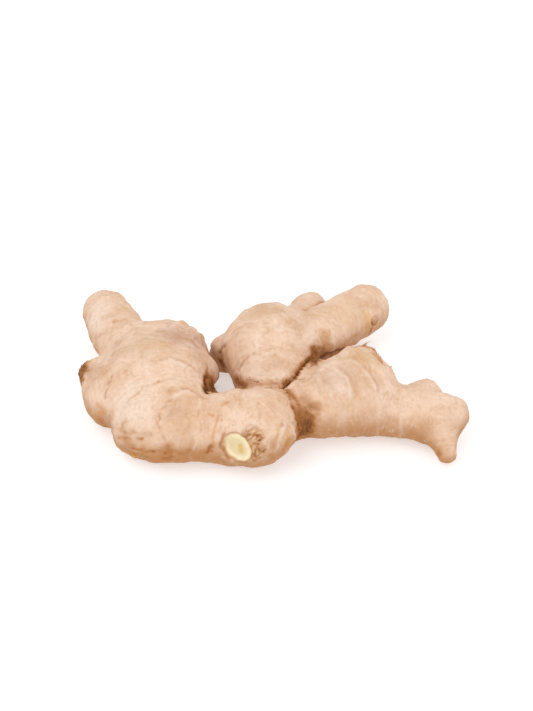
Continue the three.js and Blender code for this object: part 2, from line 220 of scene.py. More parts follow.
# Brown fibrous stains: path, radius, strength
STAINS = [
    ([(-75, -5.7, 17.4), (-76.8, -2.5, 18), (-74.8, 0.5, 20)], 4.2, 1),
    ([(-71.4, -6.9, 21.6), (-68.7, -8.6, 23.6), (-66, -11.5, 25.6)], 5, 0.34),
    ([(-71.5, -8.5, 21.5), (-69.5, -12.5, 23)], 4, 0.3),
    ([(-75.7, -6.4, 17.5), (-74.2, -5, 20), (-74.8, -1.8, 20)], 4, 0.85),
    ([(-24.4, -9.5, 20.6), (-24.9, -14, 22.8), (-24.4, -18.6, 23), (-24, -23.5, 24.4)], 2.6, 1),
    ([(-23.4, -9, 17), (-22.8, -14, 19), (-22.4, -19.6, 21.5)], 4.6, 1),
    ([(-25, -11, 22.3), (-24.3, -15, 22.5), (-23.7, -18, 22.3)], 3, 1),
    ([(-55.2, -40.4, 15.5), (-52, -42.7, 14.5)], 2.2, 0.45),
    ([(-48, -44.9, 15), (-43.8, -45.8, 14.3), (-35.5, -45.3, 13.8), (-31, -44.6, 13.4)], 2.6, 0.34),
    ([(-39.2, -45.1, 16.8), (-38.1, -45.8, 13.8), (-38.7, -45.1, 10)], 3, 0.52),
    ([(-21.9, -44.4, 16.8), (-23.2, -44.8, 14), (-26, -44.9, 12.8)], 2.4, 0.46),
    ([(-48.2, -45.2, 12.1), (-47.2, -44.3, 9.2)], 1.8, 0.45),
    ([(-46, -45, 11), (-35, -45.4, 10.5), (-24, -44.8, 10.5)], 6.5, 0.28),
    ([(-17.3, 3.6, 22.1), (-16.8, 1.5, 20.2), (-15.6, -2.3, 18.2)], 3, 0.3),
    ([(-18.6, 13.5, 15), (-17.6, 9.5, 13)], 3, 0.65),
    ([(-13.5, -7, 16.9), (-11.5, -10.9, 18.7), (-9.9, -12.5, 18.6)], 3.4, 0.75),
    ([(-9.9, -12.5, 19.5), (-4.3, -14.8, 21.3), (1, -15.6, 21.8), (7, -14, 22)], 2.4, 0.44),
    ([(5.5, -14.2, 22.1), (8.2, -12.9, 21.1)], 2.4, 0.75),
    ([(9.4, -11.4, 22.3), (11.4, -11.6, 24.1)], 1.8, 0.75),
    ([(19.5, 4.5, 20.5), (22.5, 7.5, 18.5)], 3.2, 0.7),
    ([(17.7, 4.3, 23.1), (18.5, 3.1, 21.5), (17.2, -3.4, 23.6)], 3.4, 0.95),
    ([(19, 5.5, 22.5), (21.5, 7.5, 20.5)], 3.2, 0.7),
    ([(22, 11.5, 24), (20.5, 8.5, 23.5), (19, 5.5, 23)], 3.6, 0.24),
    ([(21, 8, 21), (26.4, 11.8, 17.5), (30.7, 16, 16)], 3.4, 0.4),
    ([(27, 12, 14), (34, 19, 12)], 3.5, 0.3),
    ([(32.1, 17.7, 16.2), (35.5, 21.3, 17)], 2.5, 0.35),
    ([(9.5, -27, 21.5), (11.6, -25.5, 21.4), (15, -26.8, 23)], 3.4, 0.36),
    ([(11, -28.5, 20), (14, -28.3, 21), (17, -29, 22)], 4.2, 0.56),
    ([(11, -30, 18.5), (14, -29.6, 18.8), (15.6, -30.4, 18.5)], 4.4, 0.74),
    ([(11.5, -31, 15.5), (14.5, -30.9, 15)], 5.2, 1),
    ([(11.4, -31.6, 11), (14, -31, 12)], 5, 1),
    ([(11.6, -31, 7.5), (14, -30.4, 8)], 6, 0.55),
    ([(6.9, -41.6, 16), (4.5, -43.8, 12.2)], 2.6, 0.4),
    ([(-53, 24, 8), (-58, 34, 7)], 4.5, 0.35),
    ([(10, 26, 22), (14, 24, 21)], 2.5, 0.6),
    ([(66, -38, 6), (70, -37, 5)], 3, 0.6),
    ([(33, -3.5, 30.5), (38, -3, 29.6)], 1.2, 0.4),
    ([(37.5, -4.4, 30.2), (40.6, -6.3, 30.2), (42.3, -9, 29.8), (43.8, -11.6, 29.4)], 1.4, 0.24),
    ([(-19, 10, 18), (-19, 9.5, 13)], 3.4, 0.42),
]

# Orange flecks and dotted lines: path, radius, strength
FLECKS = [
    ([(-67.1, -23.2, 18.6), (-65.5, -24.7, 17.3), (-64.2, -25.6, 17.1), (-66.9, -24.4, 14.4),
      (-66.8, -24.5, 11.9)], 1.5, 0.65),
    ([(-63.3, 17.5, 26.9)], 1, 0.8),
    ([(-71.6, 17, 18.9)], 1.6, 0.7),
    ([(-61.6, 3.1, 27.7)], 0.9, 0.6),
    ([(-52.7, -15.3, 33.6)], 0.8, 0.5),
    ([(-55.8, -18.3, 31.7)], 0.8, 0.5),
    ([(-42.6, -25.3, 31.8)], 0.9, 0.8),
    ([(-15.7, -32.6, 28), (-18.4, -33.9, 27.6)], 0.9, 0.75),
    ([(-19.8, -38.5, 25.6), (-20.2, -39.9, 24.4), (-21.3, -42.2, 22.4), (-21.7, -43.9, 18.8)], 0.8, 0.8),
    ([(-23.3, -37, 25.9), (-21.3, -37.9, 25.6)], 0.7, 0.8),
    ([(-4.6, -34.2, 28.4)], 1.2, 0.8),
    ([(-3.1, -35.3, 28.4), (-1.6, -36.2, 28.2)], 0.7, 0.5),
    ([(22.3, 13.3, 25.1), (23.5, 11.9, 23.1), (23.5, 10.4, 20.7)], 3, 0.5),
    ([(6.4, -42, 15.2)], 2, 1),
    ([(5.5, -14.2, 22.1), (8.2, -12.9, 21.1)], 1.8, 0.7),
    ([(-27.1, -35.2, 26.3), (-27.8, -38.6, 24.7)], 0.8, 0.7),
    ([(-27.8, -38.6, 24.7), (-27.8, -41.8, 21.5)], 0.5, 0.4),
    ([(40.6, -6.5, 30.2), (41.6, -8, 30)], 1.1, 0.8),
    ([(43, -10.2, 29.6), (43.6, -11.4, 29.4)], 1.1, 0.8),
    ([(34.2, 38.1, 26.4), (32.4, 34.4, 26.6)], 2.6, 0.35),
    ([(47.7, -9.1, 25)], 1, 0.8),
    ([(42.2, 30.4, 19.2)], 1.2, 0.4),
]

# Mauve bruises, yellowish, tan and pale patches; two tan strips are painted shade and one pale patch is
# painted light: path, radius, strength
BRUISES = [
    ([(-31.9, 4.3, 29.3), (-37.5, 2.4, 31.8)], 9, 0.92),
    ([(-27, -1.5, 24), (-30, -6, 29)], 5, 0.3),
    ([(24, -21, 29.5), (32, -20, 31)], 8, 0.4),
    ([(-36, -36, 27)], 6, 0.3),
    ([(-60, 1, 28), (-61, -6, 28)], 5, 0.4),
    ([(36.4, -17.5, 32)], 3, 0.4),
]
YELLOWED = [
    ([(40.6, 27.8, 20.8), (41.1, 27, 17.2), (42, 28.4, 14.5)], 3.6, 1),
    ([(-28.1, -43.8, 17.7)], 2.5, 0.3),
    ([(4, -43.5, 19), (7, -40, 17)], 5, 0.5),
    ([(30, 26, 24)], 10, 0.25),
    ([(36, -12, 31)], 8, 0.25),
]
TANNED_AND_PAINTED_SHADE = [
    ([(-49.1, -3.9, 34), (-43.2, -3.5, 34.7)], 11, 0.6),
    ([(33, -12, 32), (38, -10, 31)], 8, 0.7),
    # Painted shade: the next two tan strips lie beside the raised arcs on the right lobe
    ([(28.5, -17, 32), (32, -21.5, 30.6), (34, -25, 27.5)], 3.4, 0.35),
    ([(38.8, -15.5, 32), (42, -20, 29)], 3.4, 0.35),
    ([(-33, -34, 27.5), (-34, -40, 25)], 7, 0.6),
    ([(-3.2, 13.4, 35.8), (3.2, 13.5, 35.8)], 8, 0.85),
    ([(8.8, 9.1, 33.6), (12, 8.6, 31.5)], 6, 0.8),
    ([(28, 24, 26), (34, 30, 25)], 9, 0.55),
    ([(-54, -38, 19), (-47, -42, 20)], 7, 0.4),
    ([(24, -20, 30), (34, -22, 29)], 9, 0.3),
    ([(0, -9, 26), (4, -8, 26)], 8, 0.55),
]
PALE_AND_PAINTED_LIGHT = [
    ([(-71, 29.8, 23.9), (-72, 25.6, 22.5)], 9, 1),
    ([(-51, -29, 28.4), (-55.6, -32.6, 24), (-49.5, -37.3, 25.6)], 10, 0.8),
    ([(73.8, -27.5, 16.7), (73.2, -23.8, 18.7)], 8, 0.3),
    ([(12, 3, 28), (16, 8, 28)], 5, 0.5),
    ([(23.6, -19.6, 30.2), (27.6, -25, 28.4)], 3.4, 0.9),
    # Painted light: this patch lightens the left nub, which lies in shade
    ([(-22.4, -1, 20.5), (-22, -2.8, 17.5)], 4.5, 1),
]

# Where two lobes meet: depth of the crease on the first and on the second, and how brown it is on each.
# Deeper creases also get painted shade
JUNCTIONS = {
    ("knob", "right lobe"): (0.3, 0.9, 0.15, 0.7),
    ("back lobe", "right lobe"): (3, -0.6, 0.8, 0.05),
    ("back finger", "right lobe"): (3, -0.6, 0.8, 0.05),
    ("knob", "back lobe"): (-0.3, 0.8, 0.1, 0.5),
    ("back lobe", "back nub"): (0.8, 0.8, 0.6, 0.6),
    ("back lobe", "back finger"): (0.2, 0.2, 0.15, 0.15),
    ("back lobe", "hidden finger"): (0.6, 0.6, 0.5, 0.5),
    ("back finger", "hidden finger"): (1, 1, 0.6, 0.6),
    ("left lobe", "left nub"): (0.3, 0.3, 0.4, 0.1),
    ("left side", "old bud"): (0.4, 0.4, 0.3, 0.3),
    ("old bud", "left finger"): (0.4, 0.4, 0.2, 0.2),
    ("left lobe", "foot"): (0.5, 0.5, 0.3, 0.3),
    ("bridge", "foot"): (0.4, 0.4, 0.3, 0.3),
    ("left side", "foot"): (0.8, 0.8, 0.4, 0.4),
    ("right lobe", "right end"): (0.5, 0.5, 0.15, 0.15),
    ("right end", "right bud"): (0.7, 0.7, 0.3, 0.3),
    ("right tip", "right bud"): (0.7, 0.7, 0.35, 0.35),
    ("right tip", "low bud"): (0.6, 0.6, 0.5, 0.5),
    ("right end", "low bud"): (0.6, 0.6, 0.5, 0.5),
    ("stem", "dry bud"): (0.5, 0.5, 0.4, 0.4),
    ("knob", "stem"): (0.3, 0.3, 0.25, 0.25),
    ("knob", "bridge"): (0.3, 0.3, 0.15, 0.15),
}

# Swellings and dips of the form: path, radius, height
SWELLINGS = [
    ([(-24, -0.5, 19.5)], 4.5, 2.2),
    ([(-25, 8, 21), (-22.3, 4.6, 20.3)], 3.4, -2.4),
    ([(-20.5, 17.5, 14.5)], 6, 2.6),
    ([(-22.5, 18, 15)], 4, 1.8),
    ([(-16, 12, 24), (-17, 6, 23)], 5, 1),
    ([(-22.8, -11, 16), (-22.3, -17, 18)], 4, 1.8),
    ([(-75, -2, 20), (-71, 0, 21)], 4.5, 2.2),
    ([(-55, -42, 8), (-50, -44, 7)], 4, -1),
    ([(-12, -23.5, 26), (4, -21.5, 24.5)], 4, 1.3),
    ([(32, -2, 28.5), (39.5, -3.8, 28.8)], 4, 1.4),
    ([(13, -12.5, 24.5), (16, -8, 25.5), (19, -4, 25.5)], 4.5, -3),
    ([(21, -2.5, 26.5), (24, -1, 27)], 4, -1.4),
]

# The shaggy dry bud beside the cut: its raised folds, the brown furrows between them, how far it reaches,
# and the folds' half width, height and depth
DRY_FOLDS = [
    [(-9.6, -45.6, 22.8), (-8.1, -45.7, 23.9), (-6.9, -45.2, 24.3), (-5.6, -45.1, 23.9), (-4.5, -45.6, 23.5)],
    [(-8.9, -46.8, 22.2), (-7.6, -46.8, 22.8), (-6.4, -47, 23), (-5.1, -46.9, 22.6), (-3.9, -46.2, 22.7)],
    [(-8.2, -47.5, 21.2), (-7.2, -48, 21.8), (-6.2, -48.2, 22)],
    [(-7.4, -48.3, 19.4), (-6.6, -48.7, 20.6), (-5.4, -49.1, 20.7), (-4.5, -49.2, 20.3), (-3.8, -49.4, 19.5),
     (-3.1, -49, 18)],
    [(-6.3, -49.2, 20), (-6.2, -50.2, 18.8)],
    [(-4.9, -49.6, 20), (-4.8, -50.2, 18.3), (-4.2, -50.2, 17)],
    [(-6.6, -50.1, 16.6), (-5.6, -50.5, 16.4)],
]
DRY_FURROWS = [
    [(-9.1, -46.1, 22.3), (-8, -46.3, 23.1), (-6.9, -46.2, 23.6), (-5.9, -46.1, 23.3), (-4.8, -46.2, 23)],
    [(-4.9, -47.2, 22.4), (-3.5, -46.9, 22)],
    [(-6.8, -48.5, 21.2), (-5.6, -48.6, 21.2), (-4.2, -48.4, 20.8)],
    [(-4.7, -49.6, 20), (-3.5, -49.3, 18), (-2.5, -48.8, 17.6)],
    [(-6.9, -49, 19.6), (-6.9, -49.3, 17.3)],
    [(-5.6, -50.1, 19.6), (-5.6, -50.3, 17.6)],
    [(-5.8, -50.3, 14.4), (-5.3, -50.7, 15.2), (-4.3, -50.5, 15.6)],
]
DRY_RADIUS = 2.6
FOLD_WIDTH = 0.55
FOLD_HEIGHT = 0.65
FURROW_DEPTH = 0.6

# Fibres: how deep they root, how far they stay above the floor, a torn strip's thickness and step, and paths
ROOT_DEPTH = 0.35
FLOOR_GAP = 0.05
STRIP_THICKNESS = 0.12
STRIP_STEP = 0.45
SCALE_RIM = [(33, -3.5, 30.5), (37, -2.5, 29.6), (40.5, -4.5, 29.4), (42.3, -8, 29.6), (44, -11.5, 29.3)]
SCALE_EDGE = [(-11, -21, 24.5), (-4, -20.5, 24), (3, -20, 23.4), (7, -21, 22.6)]
OLD_BUD_END = [(-74.6, -7.5, 16.5), (-76.4, -3.5, 18), (-74.6, 0.5, 20.4)]
KNOB_SEAM = [(7, -22, 21.6), (8.5, -28, 22), (10, -31, 17.5), (10.8, -32.5, 12)]
BACK_SEAM = [(-12, -10, 18), (-5, -14.5, 21.3), (1, -15.5, 22), (7, -13.5, 21.8), (10.5, -11.5, 23)]
BACK_FOOT = [(-10, -12.5, 19.5), (-4.9, -14.4, 21.8), (1, -15, 22.3), (7, -13.4, 22.2), (10.5, -11.5, 23)]
FOOT_HAIRS = [(-54.8, -40.5, 9.8), (-52.6, -41.7, 9.5)]

# Pieces of fibres: name, seed of the scatter, material, root and tip colours, then
# torn strips as path, lean, width, lift, raggedness, and
# tufts as path, count, spread, length, half width, half thickness, lift, curl, lean
FIBRE_PIECES = [
    ("scale_fringe", 71, "scale_fibre", (222, 178, 134), (198, 136, 72), [
        (SCALE_RIM, (0.5, 0.7, 0.2), 1.1, 0.25, 1),
    ], [
        (SCALE_RIM, 50, 0.6, 1.5, 0.26, 0.12, 0.8, 1.6, (0.5, 0.5, 0.2)),
        ([(36.5, -2, 29.4)], 3, 0.3, 4.6, 0.36, 0.2, 1.6, 0.5, (1.6, 0.3, 0.8)),
        ([(40.5, -4, 29.2)], 3, 0.3, 1.8, 0.3, 0.16, 0.9, 0.6, (0.1, 0.3, 0.4)),
        ([(47.7, -8.6, 25)], 5, 0.4, 1.6, 0.26, 0.16, 0.6, 0.8, (0.8, 0.3, 0.1)),
    ]),
    ("dry_husk", 75, "husk", (168, 112, 62), (236, 196, 148), [], [
        (DRY_FOLDS[3] + DRY_FOLDS[5], 34, 0.8, 1.4, 0.16, 0.1, 0.3, 1.6, (0.3, -0.2, -0.6)),
        ([(-4.2, -46.4, 22.8)], 5, 0.3, 1.8, 0.22, 0.14, 0.8, 1.2, (0.4, -0.2, -0.6)),
    ]),
    ("crease_fibres", 72, "brown_fibre", (124, 76, 36), (190, 130, 70), [], [
        (OLD_BUD_END, 40, 1.2, 1.3, 0.2, 0.12, 0.5, 1.2),
        (KNOB_SEAM, 46, 0.9, 1.8, 0.1, 0.1, 0.4, 1.2),
        (BACK_SEAM, 64, 0.8, 2.4, 0.13, 0.1, 0.42, 1.6),
        ([(17.9, 2.6, 22.2), (16, -4, 23.6)], 40, 1.1, 2.4, 0.13, 0.11, 0.42, 2),
        ([(-23, -8, 15), (-23, -17, 19)], 24, 1.4, 1.8, 0.12, 0.1, 0.4, 1.4),
        ([(-49, -44, 9.4), (-45, -45, 12)], 12, 1, 1.6, 0.14, 0.1, 0.4, 1),
    ]),
    ("pale_frays", 73, "pale_fibre", (214, 164, 112), (242, 210, 170), [
        (SCALE_EDGE, (0, 0.8, 0.5), 1.3, 0.25, 0.9),
    ], [
        (SCALE_EDGE, 44, 0.5, 1.3, 0.22, 0.12, 0.6, 0.9, (0, 0.3, 0.3)),
        (BACK_FOOT, 60, 0.9, 2.4, 0.13, 0.1, 0.42, 1.8),
        ([(8.4, -36, 20.3)], 9, 0.6, 2, 0.16, 0.1, 0.8, 1),
        ([(-22.6, -25.6, 26)], 3, 0.3, 2.2, 0.38, 0.3, 0.8, 0.4, (-1.4, 1.2, 0.5)),
    ]),
    ("yellow_hairs", 74, "yellow_fibre", (232, 170, 66), (255, 212, 96), [], [
        (FOOT_HAIRS, 6, 0.3, 4, 0.26, 0.18, 0.5, 0.3, (1.4, -0.9, -0.3)),
        ([(-54.8, -40.6, 9.4)], 2, 0.2, 2.4, 0.2, 0.15, 0.6, 0.3, (0, -0.6, -0.9)),
    ]),
]


def tone(red, green, blue, light=1.12):
    """Surface colour that shows as this sRGB colour under the scene's light."""
    channels = [c / 255 for c in (red, green, blue)]
    linear = [c / 12.92 if c <= 0.04045 else ((c + 0.055) / 1.055) ** 2.4 for c in channels]
    return (*[c / light for c in linear], 1)


def waves(points, length, seed, count=36):
    """Smooth random values of about unit spread, whose bumps are about this long."""
    draw = np.random.default_rng(seed)
    heading = draw.normal(size=(count, points.shape[1]))
    heading /= np.linalg.norm(heading, axis=1)[:, None]
    rate = 2 * np.pi / length * draw.uniform(0.7, 1.4, count)
    phase = draw.uniform(0, 2 * np.pi, count)
    total = np.zeros(len(points))
    for k in range(count):
        total += np.sin(points @ (heading[k] * rate[k]) + phase[k])
    return total * math.sqrt(2 / count)


def ease(value, low, high):
    """Smooth step from 0 at low to 1 at high."""
    t = np.clip((value - low) / (high - low), 0, 1)
    return t * t * (3 - 2 * t)


def bell(distance, width):
    """Soft bump that is 1 at no distance and fades over about this width."""
    return np.exp(-(distance / width) ** 2)


def to_path(points, path):
    """Distance of each point from a path of one or more places."""
    path = np.array(path, float)
    if len(path) == 1:
        return np.linalg.norm(points - path[0], axis=1)
    nearest = np.full(len(points), np.inf)
    for a, b in zip(path[:-1], path[1:]):
        span = b - a
        t = np.clip((points - a) @ span / (span @ span), 0, 1)
        nearest = np.minimum(nearest, np.linalg.norm(points - a - t[:, None] * span, axis=1))
    return nearest


def even_steps(path, step):
    """Points along a path, about this far apart."""
    path = np.array(path, float)
    points = []
    for a, b in zip(path[:-1], path[1:]):
        count = max(1, round(np.linalg.norm(b - a) / step))
        points += [a + (b - a) * k / count for k in range(count)]
    return np.array(points + [path[-1]])


def store(mesh, name, values):
    """Keeps a number or a place for each point of a mesh."""
    values = np.asarray(values, dtype=np.float32)
    kind, field = ("FLOAT", "value") if values.ndim == 1 else ("FLOAT_VECTOR", "vector")
    mesh.attributes.new(name, kind, "POINT").data.foreach_set(field, values.ravel())


def add_object(name, data):
    """A new object in the scene."""
    item = bpy.data.objects.new(name, data)
    bpy.context.collection.objects.link(item)
    return item


class Skin:
    """The skin's mesh as arrays: points in millimetres, with their neighbours and normals."""

    def __init__(self, mesh):
        self.mesh = mesh
        count = len(mesh.vertices)
        self.points = np.empty(count * 3)
        mesh.vertices.foreach_get("co", self.points)
        self.points = self.points.reshape(-1, 3) / MM
        edges = np.empty(len(mesh.edges) * 2, dtype=np.int32)
        mesh.edges.foreach_get("vertices", edges)
        self.ends = edges.reshape(-1, 2).T
        self.degree = np.bincount(edges, minlength=count)
        self.write()

    def blurred(self, values, times):
        """Values drawn towards the mean of their neighbours, this many times."""
        a, b = self.ends
        count = len(self.degree)
        for _ in range(times):
            total = np.bincount(a, values[b], count) + np.bincount(b, values[a], count)
            values = values + BLUR_SHARE * (total / self.degree - values)
        return values

    def blurred_points(self, times):
        return np.stack([self.blurred(self.points[:, k], times) for k in range(3)], 1)

    def smooth(self, times):
        self.points = self.blurred_points(times)
        self.write()

    def raise_by(self, height):
        """Moves each point along its normal, and never below the floor."""
        self.points = self.points + height[:, None] * self.normals
        self.write()

    def write(self):
        self.points[:, 2] = np.maximum(self.points[:, 2], 0)
        self.mesh.vertices.foreach_set("co", (self.points * MM).ravel())
        self.mesh.update()
        normals = np.empty(len(self.points) * 3)
        self.mesh.vertex_normals.foreach_get("vector", normals)
        self.normals = normals.reshape(-1, 3)

    def hollow(self, times):
        """How far the blurred surface lies above each point."""
        return ((self.blurred_points(times) - self.points) * self.normals).sum(1)

    def finish(self):
        """Makes the finished skin ready for fibres to be set on it."""
        self.corners = [list(face.vertices) for face in self.mesh.polygons]
        self.tree = BVHTree.FromPolygons(self.points.tolist(), self.corners)

    def nearest(self, place):
        """The closest place on the skin, and the way it faces there."""
        found, _, face, _ = self.tree.find_nearest(place)
        normal = self.normals[self.corners[face]].mean(0)
        return np.array(found), normal / np.linalg.norm(normal)


def fine_form():
    """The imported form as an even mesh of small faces."""
    form = add_object("form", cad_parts["rhizome"].data.copy())
    bm = bmesh.new()
    bm.from_mesh(form.data)
    bmesh.ops.remove_doubles(bm, verts=bm.verts, dist=0.001 * MM)
    bmesh.ops.join_triangles(bm, faces=bm.faces, angle_face_threshold=1.2, angle_shape_threshold=1.2)
    bm.to_mesh(form.data)
    bm.free()
    form.modifiers.new("rounded", "SUBSURF").levels = 2
    even = form.modifiers.new("even", "REMESH")
    even.mode = "VOXEL"
    even.voxel_size = VOXEL * MM
    seen = form.evaluated_get(bpy.context.evaluated_depsgraph_get())
    mesh = bpy.data.meshes.new_from_object(seen)
    bpy.data.objects.remove(form)
    mesh.materials.clear()
    mesh.shade_smooth()
    return mesh


def spline(axis):
    """Close samples of a lobe's axis through its points."""
    axis = np.array(axis, float)
    padded = np.vstack([2 * axis[0] - axis[1], axis, 2 * axis[-1] - axis[-2]])
    samples = []
    for p0, p1, p2, p3 in zip(padded, padded[1:], padded[2:], padded[3:]):
        steps = max(2, int(np.linalg.norm(p2[:3] - p1[:3])))
        for t in np.arange(steps) / steps:
            samples.append(0.5 * (2 * p1 + (p2 - p0) * t + (2 * p0 - 5 * p1 + 4 * p2 - p3) * t * t
                                  + (3 * p1 - p0 - 3 * p2 + p3) * t ** 3))
    return np.array(samples + [axis[-1]])


def growth(points):
    """For each point: its lobe, the run along it, the arc round it, the next lobe, and how far that is."""
    every = np.arange(len(points))
    away, runs, arcs = np.empty((3, len(LOBES), len(points)))
    for k, (_, _, _, axis) in enumerate(LOBES):
        line = spline(axis)
        tangent = np.gradient(line[:, :3], axis=0)
        tangent /= np.linalg.norm(tangent, axis=1)[:, None]
        length = np.r_[0, np.cumsum(np.linalg.norm(np.diff(line[:, :3], axis=0), axis=1))]
        gap = np.full(len(points), np.inf)
        near = np.zeros(len(points), dtype=int)
        for j, sample in enumerate(line):
            distance = np.linalg.norm(points - sample[:3], axis=1)
            closer = distance < gap
            gap[closer] = distance[closer]
            near[closer] = j
        offset = points - line[near, :3]
        side = np.cross(tangent[near], (0, 0, 1))
        away[k] = gap - line[near, 3]
        runs[k] = length[near] + (offset * tangent[near]).sum(1)
        arcs[k] = gap * np.arctan2((offset * side).sum(1), offset[:, 2])
    first, second = np.argsort(away, axis=0)[:2]
    clear = away[second, every] - away[first, every]
    return first, runs[first, every], arcs[first, every], second, clear


def ring_relief(points, lobe, run, clear):
    """Growth rings: their heights, pale crests with a painted highlight, and the lines behind them, partly
    real ring lines and partly painted shade at the foot of each step, faded where lobes meet.
    """
    height, pale_crest_and_highlight, line = np.zeros((3, len(points)))
    x, y, z = points.T
    stray = RING_WANDER * np.sin(x / 5 + z / 4) * np.cos(y / 6) + 0.4 * waves(points, 8, 21)
    fade = ease(clear, 0.3, 4) * (0.3 + 0.7 * ease(waves(points, 16, 22), -1, 0.8))
    for k, (_, spacing, rise, _) in enumerate(LOBES):
        mine = lobe == k
        phase = (run[mine] + stray[mine]) / spacing
        past = (phase - np.round(phase)) * spacing
        shelf = np.where(past > 0, np.exp(-past / 2.5), np.exp(past / 0.6))
        show = fade[mine] * min(1, rise / 0.3)
        height[mine] = fade[mine] * rise * (bell(past, RING_WIDTH) + 0.6 * shelf)
        # Painted highlight just past each ring's crest, and painted shade at the foot of its step
        pale_crest_and_highlight[mine] = 0.5 * show * bell(past - 0.3, 0.7)
        line[mine] = show * bell(past + 0.9, 0.5)
    return height, pale_crest_and_highlight, line


def blotch(points, places, ragged):
    """Strongest of several soft spots with ragged edges at each point."""
    total = np.zeros(len(points))
    for path, radius, strength in places:
        distance = to_path(points, path) * (1 + 0.16 * ragged)
        total = np.maximum(total, strength * ease(-distance, -1.15 * radius, -0.1 * radius))
    return total


def junctions(lobe, other, clear, hollow, ragged):
    """Crease depth, brown stain, and painted shade in the crease where lobes meet in a hollow."""
    names = [entry[0] for entry in LOBES]
    depth, brown = np.zeros((2, len(lobe)))
    for pair, (first_depth, second_depth, first_stain, second_stain) in JUNCTIONS.items():
        first, second = (names.index(name) for name in pair)
        sides = ((first, second, first_depth, first_stain), (second, first, second_depth, second_stain))
        for own, far, deep, stain in sides:
            here = (lobe == own) & (other == far)
            depth[here] = deep
            brown[here] = stain
    gate = ease(hollow, 0.05, 0.7)
    reach = np.maximum(0, clear + 0.6 * ragged)
    crease = depth * gate * bell(clear, 1.5)
    # Painted shade: the crease is darkened more the deeper it is
    brown_and_shade = np.clip(0.2 + 0.26 * depth, 0, 0.95) * (depth > 0) * gate * bell(clear, 1.2)
    return crease, brown * gate * bell(reach, 3.8), brown_and_shade


def cut_places(points, ragged):
    """For each point: its height above the cut face, and its distance and angle from the face's middle."""
    short = np.cross(CUT_FACING, CUT_LONG)
    from_cut = points - CUT_CENTRE
    above = from_cut @ CUT_FACING
    out = np.hypot(from_cut @ CUT_LONG / CUT_HALF_LONG, from_cut @ short / CUT_HALF_SHORT)
    angle = np.arctan2(from_cut @ short, from_cut @ CUT_LONG)
    return above, out * CUT_RADIUS * (1 + 0.035 * ragged), angle


